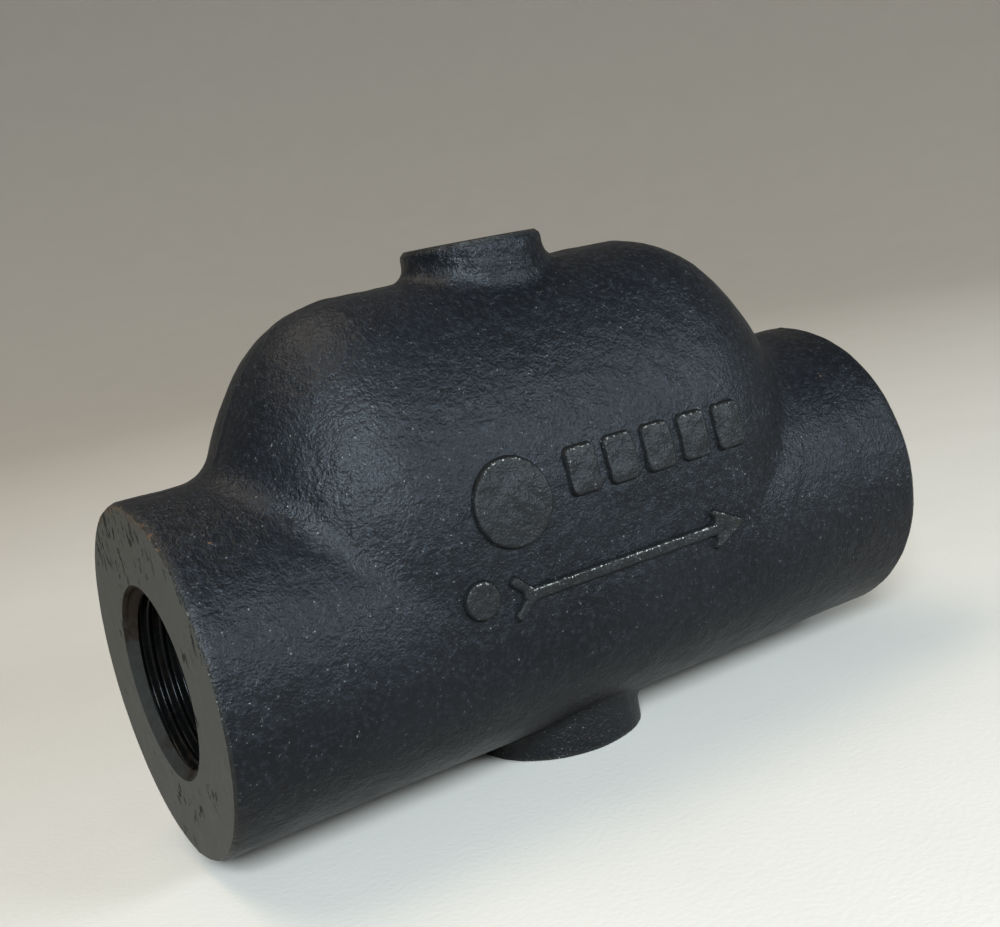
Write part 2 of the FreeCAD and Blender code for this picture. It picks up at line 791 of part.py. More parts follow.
def bracket_screw(side, y):
    """A slotted pan-head screw that holds the bracket on the carrier."""
    name = f"screw_{side}"
    head_end = f"{plate_back} - dims.screw_head"
    at = {"y": y, "z": AXIS}
    head = rod(f"{name}_head", "dims.screw_head_radius", "dims.screw_head", "X", x=head_end, **at)
    shank = rod(f"{name}_shank", "dims.screw_radius", "dims.screw_length", "X", x=plate_back, **at)
    slot = block(f"{name}_slot", "1.5", "0.6", "6", f"{head_end} - 0.9", f"{y} - 0.3", f"{AXIS} - 3")
    return cut(name, fuse(f"{name}_blank", head, shank), slot)


for side, y in SCREWS:
    finish(bracket_screw(side, y), f"bracket_screw_{side}")

clip_in = "dims.ear_inside + dims.ear_sheet + 0.1"
pin = rod("pin_bar", "dims.pin_radius", "2 * dims.pin_half_length", "Y", y="-dims.pin_half_length", **PIVOT)
grooves = []
for side, y in (("front", f"-({clip_in} + dims.clip_sheet)"), ("back", clip_in)):
    full = rod(f"groove_full_{side}", "dims.pin_radius + 1", "dims.clip_sheet", "Y", y=y, **PIVOT)
    core = rod(f"groove_core_{side}", "dims.clip_groove_radius", "dims.clip_sheet", "Y", y=y, **PIVOT)
    grooves.append(cut(f"pin_groove_{side}", full, core))
    disc = rod(f"clip_disc_{side}", "dims.clip_radius", "dims.clip_sheet", "Y", y=y, **PIVOT)
    bore = rod(f"clip_bore_{side}", "dims.clip_groove_radius", "dims.clip_sheet", "Y", y=y, **PIVOT)
    mouth = block(
        f"clip_mouth_{side}",
        "dims.clip_opening",
        "dims.clip_sheet",
        "3",
        "dims.pivot_at - dims.clip_opening / 2",
        y,
        f"{AXIS} + dims.pivot_rise",
    )
    finish(cut(f"clip_{side}", disc, bore, mouth), f"hinge_clip_{side}")
finish(cut("pin", pin, *grooves), "hinge_pin")

# --------------------------------------------------------------------------- lever, ball and float


def lever():
    """The lever: a hub on the pin, an arm out to the float and a short holder for the ball."""
    hub = rod("hub", "dims.hub_radius", "2 * dims.hub_half_width", "Y", y="-dims.hub_half_width", **PIVOT)
    front = "dims.float_outlet_end"
    arm_outline = [
        (front, "-dims.plate_low"),
        (front, "dims.arm_high"),
        ("dims.pivot_at", "dims.arm_high"),
        ("dims.pivot_at", "dims.arm_low"),
        (f"{front} + dims.plate", "dims.arm_low"),
        (f"{front} + dims.plate", "-dims.plate_low"),
    ]
    drop = block(
        "ball_arm",
        "2.2",
        "2 * dims.arm_half_width",
        "dims.pivot_rise",
        "dims.pivot_at - 2.4",
        "-dims.arm_half_width",
        AXIS,
    )
    holder_start = "dims.pivot_at - dims.holder_length - 0.4"
    holder = rod("ball_holder", "dims.holder_radius", "dims.holder_length", "X", x=holder_start, z=AXIS)
    blank = fuse("lever_blank", hub, slab("arm", arm_outline, "2 * dims.arm_half_width"), drop, holder)
    pin_hole = rod("lever_pin_hole", "dims.pin_radius + dims.pin_gap", "20", "Y", y="-10", **PIVOT)
    stud_hole = rod("lever_stud_hole", "dims.stud_radius", "4", "X", x=f"{front} - 1", z=AXIS)
    socket = ball("ball_socket", "dims.ball_radius", x="dims.pivot_at", z=AXIS)
    return finish(cut("lever", blank, pin_hole, stud_hole, socket), "float_lever")


lever()
finish(ball("valve_sphere", "dims.ball_radius", x="dims.pivot_at", z=AXIS), "valve_ball")


def float_cup(name, closed_end, open_end, sign, more):
    """Half of the float: a drawn cup with a dished end; more are the corners between its lips."""
    shell, corner = "dims.float_radius", "dims.float_corner"
    thin = "dims.float_sheet"
    bend = f"({corner} - 0.414 * {thin})"
    outline = [
        (closed_end, "0"),
        (closed_end, f"{shell} - {corner}"),
        (f"{closed_end} {sign} {corner}", shell),
        (open_end, shell),
        *more,
        (f"{closed_end} {sign} ({thin} + {bend})", f"{shell} - {thin}"),
        (f"{closed_end} {sign} {thin}", f"{shell} - {thin} - {bend}"),
        (f"{closed_end} {sign} {thin}", "0"),
    ]
    return turned(name, outline)


seam = "-dims.float_seam"
inside = "dims.float_radius - dims.float_sheet"
outlet_cup = float_cup("outlet_cup", "dims.float_outlet_end", seam, "-", [(seam, inside)])
stud_hole = rod("cup_stud_hole", "dims.stud_radius", "4", "X", x="dims.float_outlet_end - 2", z=AXIS)
finish(cut("drilled_cup", outlet_cup, stud_hole), "float_outlet_cup")
lap = f"{seam} + dims.float_lap"
joggle = [
    (seam, inside),
    (lap, inside),
    (lap, f"{inside} - dims.float_sheet"),
    (f"{seam} - 1", f"{inside} - dims.float_sheet"),
    (f"{seam} - 1.5", inside),
]
finish(float_cup("inlet_cup", "-dims.float_inlet_end", seam, "+", joggle), "float_inlet_cup")

stud_base = "dims.float_outlet_end - dims.float_sheet"
finish(
    turned(
        "stud_turning",
        [
            (f"{stud_base} - dims.stud_flange", "0"),
            (f"{stud_base} - dims.stud_flange", "dims.stud_flange_radius"),
            (stud_base, "dims.stud_flange_radius"),
            (stud_base, "dims.stud_radius"),
            ("dims.stud_end - 0.4", "dims.stud_radius"),
            ("dims.stud_end", "dims.stud_radius - 0.4"),
            ("dims.stud_end", "0"),
        ],
    ),
    "float_stud",
)
nut_start = "dims.float_outlet_end + dims.plate"
nut = hexagon("nut_bar", "dims.nut_corners", "dims.nut_height", "X", x=nut_start, z=AXIS)
nut_bore = rod("nut_bore", "dims.stud_radius", "6", "X", x=f"{nut_start} - 1", z=AXIS)
finish(cut("nut", nut, nut_bore), "float_nut")

# --------------------------------------------------------------------------- thermostatic air vent

vent_top = "dims.vent_boss_high + dims.vent_flange"
clip_top = "dims.vent_shoulder - dims.spider_sheet"
clip_low = f"{clip_top} - dims.capsule_clip"
vent_shell = turned(
    "vent_turning",
    [
        ("dims.vent_low", "dims.vent_skirt_bore"),
        ("dims.vent_low", "dims.vent_radius"),
        ("dims.vent_boss_high", "dims.vent_radius"),
        ("dims.vent_boss_high", "dims.vent_flange_radius"),
        (f"{vent_top} - 0.4", "dims.vent_flange_radius"),
        (vent_top, "dims.vent_flange_radius - 0.4"),
        (vent_top, "dims.vent_passage_radius"),
        ("dims.vent_seat_high", "dims.vent_passage_radius"),
        ("dims.vent_seat_high", "dims.vent_seat_radius"),
        ("dims.vent_seat_low", "dims.vent_seat_radius"),
        ("dims.vent_seat_low", "dims.vent_bore"),
        ("dims.vent_shoulder", "dims.vent_bore"),
        ("dims.vent_shoulder", "dims.vent_skirt_bore"),
        (clip_top, "dims.vent_skirt_bore"),
        (clip_top, "dims.capsule_clip_groove_radius"),
        (clip_low, "dims.capsule_clip_groove_radius"),
        (clip_low, "dims.vent_skirt_bore"),
    ],
    "Z",
)
vent_hex_bottom = f"{AXIS} + {vent_top} - dims.vent_hex_depth"
vent_socket = hexagon("vent_socket", "dims.vent_hex", "dims.vent_hex_depth + 1", z=vent_hex_bottom)
finish(cut("vent", vent_shell, vent_socket), "vent_body")

finish(
    turned(
        "vent_seat_turning",
        [
            ("dims.vent_seat_low", "dims.vent_orifice_radius"),
            ("dims.vent_seat_low", "dims.vent_seat_radius"),
            ("dims.vent_seat_high", "dims.vent_seat_radius"),
            ("dims.vent_seat_high", "dims.vent_orifice_radius"),
        ],
        "Z",
    ),
    "vent_seat",
)

clip_ring = turned(
    "capsule_clip_ring",
    [
        (clip_low, "dims.capsule_clip_bore"),
        (clip_low, "dims.capsule_clip_radius"),
        (clip_top, "dims.capsule_clip_radius"),
        (clip_top, "dims.capsule_clip_bore"),
    ],
    "Z",
)
clip_cut = block("capsule_clip_cut", "10", "3", "3", "0", "-1.5", f"{AXIS} + {clip_low} - 1")
finish(cut("capsule_clip_open", clip_ring, clip_cut), "capsule_clip")


def capsule():
    """The thermostatic capsule's shell: a notched foot and a shallow cup, closed by the diaphragm."""
    inner = "dims.capsule_radius - dims.capsule_sheet"
    cup = turned(
        "capsule_turning",
        [
            (clip_top, "0"),
            (clip_top, "dims.spider_radius"),
            ("dims.vent_shoulder", "dims.spider_radius"),
            ("dims.vent_shoulder", "dims.capsule_radius"),
            ("dims.capsule_top", "dims.capsule_radius"),
            ("dims.capsule_top", inner),
            (f"{clip_top} + dims.capsule_sheet", inner),
            (f"{clip_top} + dims.capsule_sheet", "0"),
        ],
        "Z",
    )
    notches = []
    reach, depth = "dims.spider_radius + 0.45", "dims.spider_sheet + 1"
    for axis in "xy":
        for sign in ("", "-"):
            at = {axis: f"{sign}({reach})", "z": f"{AXIS} + {clip_top} - 1"}
            name = f"capsule_notch_{axis}{len(notches)}"
            notches.append(rod(name, "dims.spider_slot_radius", depth, **at))
    return finish(cut("notched_capsule", cup, *notches), "vent_capsule")


capsule()

lid_top = "dims.capsule_top + dims.diaphragm_sheet"
stem_hole = "dims.vent_valve_stem + dims.diaphragm_hole_gap"
finish(
    turned(
        "diaphragm",
        [
            ("dims.capsule_top", stem_hole),
            ("dims.capsule_top", "dims.capsule_radius"),
            (lid_top, "dims.capsule_radius"),
            (lid_top, stem_hole),
        ],
        "Z",
    ),
    "vent_diaphragm",
)

valve_top = "dims.vent_seat_low - dims.vent_lift - 0.03"
finish(
    turned(
        "vent_valve_turning",
        [
            ("dims.capsule_top - 1.8", "0"),
            ("dims.capsule_top - 1.8", "dims.vent_valve_stem"),
            (f"{lid_top} + 0.3", "dims.vent_valve_stem"),
            (f"{lid_top} + 0.3", "dims.vent_valve_radius"),
            (valve_top, "dims.vent_valve_radius"),
            (valve_top, "0"),
        ],
        "Z",
    ),
    "vent_valve",
)

# --------------------------------------------------------------------------- plugs


def plug(label, port_radius, low, socket_low):
    """A sunk pipe plug with a hexagon socket, sized by the sheet's rows for its label."""
    bar = rod(f"{label}_bar", f"{port_radius} - dims.thread_gap", f"dims.{label}_length", z=low)
    socket = hexagon(f"{label}_socket", f"dims.{label}_hex", "dims.plug_hex_depth + 1", z=socket_low)
    return finish(cut(f"{label}_turned", bar, socket), label)


top_low = f"{AXIS} + dims.top_boss_rise - dims.plug_recess - dims.top_plug_length"
top_socket = f"{top_low} + dims.top_plug_length - dims.plug_hex_depth"
plug("top_plug", "dims.vent_port_radius", top_low, top_socket)
plug("drain_plug", "dims.drain_port_radius", "dims.plug_recess", "dims.plug_recess - 1")

# --------------------------------------------------------------------------- check and write out

doc.recompute()
for obj in doc.Objects:
    if "Invalid" in obj.State or "Error" in obj.State:
        raise RuntimeError(f"{obj.Name} did not compute: {obj.State}")
os.makedirs("parts", exist_ok=True)
for obj in finished:
    shape = obj.Shape
    if shape.isNull() or not shape.isValid() or not shape.Solids:
        raise RuntimeError(f"{obj.Label} has no sound solid")
    shape.exportStep(f"parts/{obj.Label}.step")
    print(f"{obj.Label:20s} {len(shape.Solids)} solid, {shape.Volume:10.1f} mm3")
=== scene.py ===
"""Looks of the in-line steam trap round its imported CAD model. Metres, +Z up, +X the way the flow goes."""

import json
import math
from contextlib import contextmanager

import bmesh
import bpy
import numpy as np
from mathutils import Matrix, Vector, noise


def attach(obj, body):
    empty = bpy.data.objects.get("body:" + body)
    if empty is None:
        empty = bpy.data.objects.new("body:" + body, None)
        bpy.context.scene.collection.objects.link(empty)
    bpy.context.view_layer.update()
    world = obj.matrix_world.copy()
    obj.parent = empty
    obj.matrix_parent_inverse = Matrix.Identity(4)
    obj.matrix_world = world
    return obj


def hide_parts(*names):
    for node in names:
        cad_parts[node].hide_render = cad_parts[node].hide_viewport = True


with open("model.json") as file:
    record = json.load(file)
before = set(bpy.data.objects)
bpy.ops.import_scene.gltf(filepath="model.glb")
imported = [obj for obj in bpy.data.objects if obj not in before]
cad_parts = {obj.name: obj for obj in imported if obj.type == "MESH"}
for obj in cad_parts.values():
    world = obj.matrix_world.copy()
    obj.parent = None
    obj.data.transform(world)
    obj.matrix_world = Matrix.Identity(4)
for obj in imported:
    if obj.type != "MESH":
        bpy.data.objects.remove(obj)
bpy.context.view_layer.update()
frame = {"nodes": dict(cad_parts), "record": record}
MM = 0.001


def add_object(name, data):
    """A new object in the scene."""
    made = bpy.data.objects.new(name, data)
    bpy.context.scene.collection.objects.link(made)
    return made


# --------------------------------------------------------------------------- camera

CAMERA_AT = Vector((-0.13131, -0.22244, 0.10109))
AZIMUTH, ELEVATION, ROLL = (math.radians(a) for a in (30.13, 10.055, 10.51))
LENS, SENSOR = 48.17, 36


def make_camera():
    """A camera in front of the inlet's end and a little above it, rolled to one side."""
    data = bpy.data.cameras.new("camera")
    data.lens = LENS
    data.sensor_width = SENSOR
    data.clip_start, data.clip_end = 0.01, 20
    camera = add_object("camera", data)
    forward = math.cos(ELEVATION)
    ahead = Vector((math.sin(AZIMUTH) * forward, math.cos(AZIMUTH) * forward, -math.sin(ELEVATION)))
    level = ahead.to_track_quat("-Z", "Y")
    camera.rotation_mode = "QUATERNION"
    camera.rotation_quaternion = Matrix.Rotation(ROLL, 3, ahead).to_quaternion() @ level
    camera.location = CAMERA_AT
    bpy.context.scene.camera = camera


make_camera()

# --------------------------------------------------------------------------- sizes of the casting, mm

AXIS = 35.4  # run axis above the drain boss's face
RUN = 31.75  # barrel radius
HALF = 76.2  # half the length
DOME_HALF = 30.0  # centre to the axis of a dome end
SPRING = 14.3  # run axis to where the dome's side starts to curve in
CROWN = 58.0  # run axis to the dome's top
CROWN_RADIUS = 25.0
SHOULDER_RADIUS = 54.278
MEETING = 49.0  # run axis to where the shoulder's arc becomes the crown's
TOP_FACE = 98.8  # top boss's face above the drain boss's
TOP_BOSS, DRAIN_BOSS = 13.6, 17.0  # radii
END_ROUND, BOSS_ROUND = 1.1, 1.3  # where the skin turns in to a machined face

CORE_INSET = 2.7  # skin to the solid core, deeper than the marks and shallower than the wall
CORE_RADIUS = 19.0  # of the bar that fills the ports while the skin is made
BORES = (18, 11.5, 14)  # radii round the holes in the run, the top boss and the drain boss
STOCK, BOSS_STOCK = 3, 2.5  # how far the blank stands past a face before it is machined
END_LAP, TOP_LAP, DRAIN_LAP = 2.5, 12, 14  # how far the bars that lengthen it reach back into it
VOXEL = 0.74  # a finer one gives the casting more than 200,000 triangles

SEAM_WIDTH, SEAM_HEIGHT, SEAM_RIPPLE = 0.55, 0.16, 0.2
BARREL_RIM, BOSS_RIM = 25, 16  # the rounding stays outside the first, round the run, and inside the second

CAD_MARKS_X, CAD_MARKS_RISE = 37, (-2.5, 29)  # the part of a side that holds the CAD's own marks
MARKS_X, MARKS_RISE = (-36, 37.5), (-2.2, 28.5)  # the patch that holds the finer ones
MARK_GRID = 0.27
MARK_ROOT, MARK_HEIGHT, MARK_WEAR = -0.38, 1.34, 0.30  # from under the skin, and how uneven the tops are
MARK_TOP = 0.98  # highest point of a mark above the barrel, inside the CAD's box

# the pipe threads, with depths from the end face and radii from the run axis
THREAD_START, THREAD_END = 0.42, 17.0
THREAD_ROOM = 17.0  # radius cleared in the casting for the thread's surface
PITCH = 2.209
CREST = 14.87  # radius at the inner end
TAPER = 0.030
TOOTH = 1.5
TOOTH_PROFILE = (0, 0.04, 0.35, 0.70, 0.96, 1, 0.96, 0.70, 0.35, 0.04)
RUN_OUT = 16.2  # radius where the thread ends
MOUTH, MOUTH_SLOPE = 17.4, 0.975
CHAMFER_DEPTH = 2.3


def half_width(rise):
    """Half the dome's width at a height above the run axis."""
    rise = np.asarray(rise, dtype=float)
    shoulder = np.sqrt(np.maximum(SHOULDER_RADIUS**2 - (rise - SPRING) ** 2, 0)) - (SHOULDER_RADIUS - RUN)
    crown = np.sqrt(np.maximum(CROWN_RADIUS**2 - (rise - CROWN + CROWN_RADIUS) ** 2, 0))
    return np.where(rise < SPRING, RUN, np.where(rise < MEETING, shoulder, crown))


def skin(x, rise):
    """The casting's half width in Y at a place on its side."""
    over = np.maximum(np.abs(x) - DOME_HALF, 0)
    dome = np.where(rise >= 0, np.sqrt(np.maximum(half_width(rise) ** 2 - over**2, 0)), 0)
    barrel = np.sqrt(np.maximum(RUN**2 - rise**2, 0))
    return np.maximum(dome, barrel)


def waviness(point):
    """How far the sand-cast skin stands off its drawing at a point; round the top boss it is rougher."""
    x, y, z = point
    broad = noise.fractal(Vector(point) * 0.055, 0.9, 2.1, 3)
    fine = noise.fractal(Vector(point) * 0.26 + Vector((7, 3, 1)), 0.8, 2.0, 3)
    crown = min(max((z - AXIS - 54) / 5, 0), 1)
    round_boss = min(max((19 - math.hypot(x, y)) / 3, 0), 1)
    return 0.16 * broad + (0.07 + 0.16 * crown * round_boss) * fine


def rounding(beyond, radius):
    """How far a rounded edge falls back, where beyond is how far a point is past the edge's start."""
    past = np.clip(beyond, 0, 0.97 * radius)
    return radius - np.sqrt(radius**2 - past**2)


# --------------------------------------------------------------------------- mesh helpers


def new_object(name, vertices, faces):
    mesh = bpy.data.meshes.new(name)
    mesh.from_pydata([tuple(v) for v in vertices], [], [tuple(f) for f in faces])
    mesh.update()
    return add_object(name, mesh)


@contextmanager
def edited(mesh):
    """The mesh as a bmesh, written back when the block ends."""
    body = bmesh.new()
    body.from_mesh(mesh)
    yield body
    body.to_mesh(mesh)
    body.free()


def bar(name, start, end, radius, steps=96):
    """A closed round bar between two points, sizes in mm."""
    start, end = Vector(start) * MM, Vector(end) * MM
    turn = (end - start).to_track_quat("Z", "X")
    ring = [
        turn @ Vector((math.cos(a) * radius * MM, math.sin(a) * radius * MM, 0))
        for a in (2 * math.pi * i / steps for i in range(steps))
    ]
    vertices = [start + r for r in ring] + [end + r for r in ring]
    sides = [(i, (i + 1) % steps, steps + (i + 1) % steps, steps + i) for i in range(steps)]
    caps = [tuple(reversed(range(steps))), tuple(range(steps, 2 * steps))]
    return new_object(name, vertices, sides + caps)


def chamber_core(name):
    """A closed body that fills the dome and the barrel under it, up to CORE_INSET from the skin."""
    mesh = bpy.data.meshes.new(name)
    with edited(mesh) as body:
        low, high = -RUN + CORE_INSET, CROWN - CORE_INSET
        for rise in np.concatenate([np.linspace(low, 0, 10), np.linspace(0.5, high, 26)]):
            if rise < 0:
                wide = math.sqrt(max((RUN - CORE_INSET) ** 2 - rise**2, 0))
            else:
                wide = max(float(half_width(rise * CROWN / high)) - CORE_INSET, 0)
            for side in (-1, 1):
                for a in np.linspace(-math.pi / 2, math.pi / 2, 17):
                    x = side * (DOME_HALF - 2 + wide * math.cos(a))
                    body.verts.new((x * MM, wide * math.sin(a) * MM, (AXIS + rise) * MM))
        made = bmesh.ops.convex_hull(body, input=body.verts)
        spare = {g for g in made["geom_interior"] + made["geom_unused"] if isinstance(g, bmesh.types.BMVert)}
        bmesh.ops.delete(body, geom=list(spare), context="VERTS")
    return add_object(name, mesh)


def copy_of_node(name, node):
    """A closed copy of a CAD node's mesh."""
    source = frame["nodes"][node]
    mesh = source.data.copy()
    mesh.transform(source.matrix_world)
    mesh.materials.clear()
    with edited(mesh) as body:
        bmesh.ops.remove_doubles(body, verts=body.verts, dist=1e-7)
    return add_object(name, mesh)


def settle(target):
    """Apply a target's modifiers to its mesh."""
    graph = bpy.context.evaluated_depsgraph_get()
    mesh = bpy.data.meshes.new_from_object(target.evaluated_get(graph))
    old = target.data
    target.modifiers.clear()
    target.data = mesh
    bpy.data.meshes.remove(old)


def combine(target, tool, operation):
    """Boolean target with tool, and use the tool up."""
    step = target.modifiers.new("combine", "BOOLEAN")
    step.solver = "MANIFOLD"
    step.operation = operation
    step.object = tool
    settle(target)
    bpy.data.objects.remove(tool)


def joined(name, *parts):
    """One mesh out of several closed ones, which may overlap."""
    mesh = bpy.data.meshes.new(name)
    with edited(mesh) as body:
        for part in parts:
            body.from_mesh(part.data)
    for part in parts:
        bpy.data.objects.remove(part)
    return add_object(name, mesh)


def keep_outer_shell(target):
    """Drop every island but the one that reaches furthest along +X."""
    with edited(target.data) as body:
        start = max(body.verts, key=lambda v: v.co.x)
        seen, front = {start}, [start]
        while front:
            vertex = front.pop()
            for edge in vertex.link_edges:
                other = edge.other_vert(vertex)
                if other not in seen:
                    seen.add(other)
                    front.append(other)
        bmesh.ops.delete(body, geom=[v for v in body.verts if v not in seen], context="VERTS")


def column(items, key):
    """A property of three numbers, read from every item of a mesh."""
    flat = np.empty(len(items) * 3)
    items.foreach_get(key, flat)
    return flat.reshape(-1, 3)


def points(mesh):
    return column(mesh.vertices, "co") / MM


def set_points(mesh, where):
    mesh.vertices.foreach_set("co", (where * MM).ravel())
    mesh.update()


def paint_values(mesh, name, values):
    """Store one number per vertex for a material to read."""
    layer = mesh.attributes.new(name, "FLOAT", "POINT")
    layer.data.foreach_set("value", np.asarray(values, dtype=np.float32))


# --------------------------------------------------------------------------- casting


def blank_casting():
    """The casting's skin as the mould left it: solid, and over-long at every face that is machined later."""
    past = HALF + STOCK
    parts = [
        copy_of_node("source", "body"),
        chamber_core("core"),
        bar("run_core", (-past, 0, AXIS), (past, 0, AXIS), CORE_RADIUS),
        bar("inlet_end", (-past, 0, AXIS), (-HALF + END_LAP, 0, AXIS), RUN),
        bar("outlet_end", (HALF - END_LAP, 0, AXIS), (past, 0, AXIS), RUN),
        bar("top_end", (0, 0, TOP_FACE - TOP_LAP), (0, 0, TOP_FACE + BOSS_STOCK), TOP_BOSS),
        bar("drain_end", (0, 0, -BOSS_STOCK), (0, 0, DRAIN_LAP), DRAIN_BOSS),
    ]
    blank = joined("casting", *parts)
    step = blank.modifiers.new("skin", "REMESH")
    step.mode = "VOXEL"
    step.voxel_size = VOXEL * MM
    settle(blank)
    keep_outer_shell(blank)
    smooth = blank.modifiers.new("smooth", "SMOOTH")
    smooth.factor, smooth.iterations = 0.5, 5
    settle(blank)
    mesh = blank.data
    where = points(mesh)
    x, y, rise = where[:, 0], where[:, 1], where[:, 2] - AXIS
    # the CAD's plain marks go, because finer ones are laid on the skin later
    lowest, highest = CAD_MARKS_RISE
    marked = (np.abs(x) < CAD_MARKS_X) & (rise > lowest) & (rise < highest) & (np.abs(y) > 20)
    where[:, 1] = np.where(marked, np.sign(y) * np.minimum(np.abs(y), skin(x, rise)), y)
    set_points(mesh, where)
    out = column(mesh.vertex_normals, "vector")
    push = np.array([waviness(p) for p in where])
    seam = np.exp(-((where[:, 1] / SEAM_WIDTH) ** 2))
    ripple = np.array([noise.noise(Vector(p) * 0.12) for p in where])
    push += seam * (SEAM_HEIGHT + SEAM_RIPPLE * ripple)
    at_barrel = np.hypot(where[:, 1], rise) > BARREL_RIM
    at_boss = np.hypot(x, where[:, 1]) < BOSS_RIM
    push -= rounding(np.abs(x) - HALF + END_ROUND, END_ROUND) * at_barrel
    push -= rounding(where[:, 2] - TOP_FACE + BOSS_ROUND, BOSS_ROUND) * at_boss
    set_points(mesh, where + out * push[:, None])
    return blank


def inside():
    """The space that the core and the machining leave in the casting, taken from the CAD node itself."""
    space = chamber_core("inside")
    ends = (
        ("run_bore", (-HALF - 1, 0, AXIS), (HALF + 1, 0, AXIS)),
        ("top_bore", (0, 0, 60), (0, 0, TOP_FACE + 1)),
        ("drain_bore", (0, 0, -1), (0, 0, 20)),
    )
    for (name, start, end), radius in zip(ends, BORES):
        combine(space, bar(name, start, end, radius), "UNION")
    combine(space, copy_of_node("metal", "body"), "DIFFERENCE")
    return space


def make_casting():
    """The blank, faced off square, hollowed, and opened up for the threads."""
    casting = blank_casting()
    low, high = Vector((-HALF, -60, 0)) * MM, Vector((HALF, 60, TOP_FACE)) * MM
    corners = [(x, y, z) for x in (low.x, high.x) for y in (low.y, high.y) for z in (low.z, high.z)]
    faces = [(0, 1, 3, 2), (4, 6, 7, 5), (0, 4, 5, 1), (2, 3, 7, 6), (0, 2, 6, 4), (1, 5, 7, 3)]
    combine(casting, new_object("faced", corners, faces), "INTERSECT")
    combine(casting, inside(), "DIFFERENCE")
    for side in (-1, 1):
        start = (side * (HALF - THREAD_START), 0, AXIS)
        end = (side * (HALF - THREAD_END), 0, AXIS)
        combine(casting, bar("thread_room", start, end, THREAD_ROOM, 128), "DIFFERENCE")
    return casting


def thread(name, side):
    """The pipe thread in a port: one helical surface that fades out into the mouth's chamfer."""
    around, per_turn = 144, len(TOOTH_PROFILE)
    turns = int((THREAD_END - THREAD_START) / PITCH) + 2
    rows = turns * per_turn
    vertices, faces = [], []
    for row in range(rows + 1):
        for step in range(around):
            angle = 2 * math.pi * step / around
            depth = (row / per_turn - 1 + step / around) * PITCH
            depth = min(max(depth, THREAD_START), THREAD_END)
            crest = CREST + TAPER * (THREAD_END - depth)
            radius = max(crest + TOOTH * TOOTH_PROFILE[row % per_turn], MOUTH - MOUTH_SLOPE * depth)
            if depth >= THREAD_END - 0.01:
                radius = RUN_OUT
            across, up = side * radius * math.sin(angle), AXIS + radius * math.cos(angle)
            vertices.append((side * (HALF - depth) * MM, across * MM, up * MM))
    for row in range(rows):
        for step in range(around):
            # where the circle closes, the next column is one turn of the helix further in
            after = (step + 1) % around
            ahead = row if after else row + per_turn
            a, b = row * around + step, (row + 1) * around + step
            c, d = (ahead + 1) * around + after, ahead * around + after
            if max(b, c, d) < len(vertices):
                faces.append((a, b, c, d))
    made = new_object(name, vertices, faces)
    with edited(made.data) as body:
        bmesh.ops.dissolve_degenerate(body, dist=2e-6, edges=body.edges)
        bmesh.ops.recalc_face_normals(body, faces=body.faces)
    return made


# --------------------------------------------------------------------------- raised marks

ARROW_LEVEL, ARROW_TIP = 3.2, 28
PAD_COUNT, PAD_START, PAD_PITCH, PAD_LEVEL = 5, -4.3, 8.4, 21.5
PAD_WIDE, PAD_HIGH, PAD_CORNER = 6.4, 8.6, 1.2


def capsule_distance(x, z, ax, az, bx, bz):
    """Distance from a line segment."""
    along = np.clip(((x - ax) * (bx - ax) + (z - az) * (bz - az)) / ((bx - ax) ** 2 + (bz - az) ** 2), 0, 1)
    return np.hypot(x - ax - along * (bx - ax), z - az - along * (bz - az))


def box_distance(x, z, cx, cz, wide, high, corner):
    """Signed distance from a rectangle with rounded corners."""
    dx = np.abs(x - cx) - (wide / 2 - corner)
    dz = np.abs(z - cz) - (high / 2 - corner)
    outside = np.hypot(np.maximum(dx, 0), np.maximum(dz, 0))
    return outside + np.minimum(np.maximum(dx, dz), 0) - corner


def marks_distance(x, z):
    """Signed distance from the outline of the raised marks, in mm; x and z from the run axis's middle."""
    disc = np.hypot(x + 19.5, z - 19.5) - 7.8
    dot = np.hypot(x + 29, z - 5) - 3.4
    shaft = capsule_distance(x, z, -20, ARROW_LEVEL, 23, ARROW_LEVEL) - 1.15
    barbs = [capsule_distance(x, z, ARROW_TIP, ARROW_LEVEL, 22.2, end) - 0.7 for end in (6.3, 0.1)]
    slant = (x - ARROW_TIP) * 0.5 + np.abs(z - ARROW_LEVEL) * 0.88
    head = np.maximum.reduce([22.0 - x, slant, x - ARROW_TIP])
    tail = [capsule_distance(x, z, -19, ARROW_LEVEL, -22.2, end) - 0.95 for end in (6.2, 0.2)]
    pads = [
        box_distance(x, z, PAD_START + PAD_PITCH * number, PAD_LEVEL, PAD_WIDE, PAD_HIGH, PAD_CORNER)
        for number in range(PAD_COUNT)
    ]
    return np.minimum.reduce([disc, dot, shaft, head, *barbs, *tail, *pads])


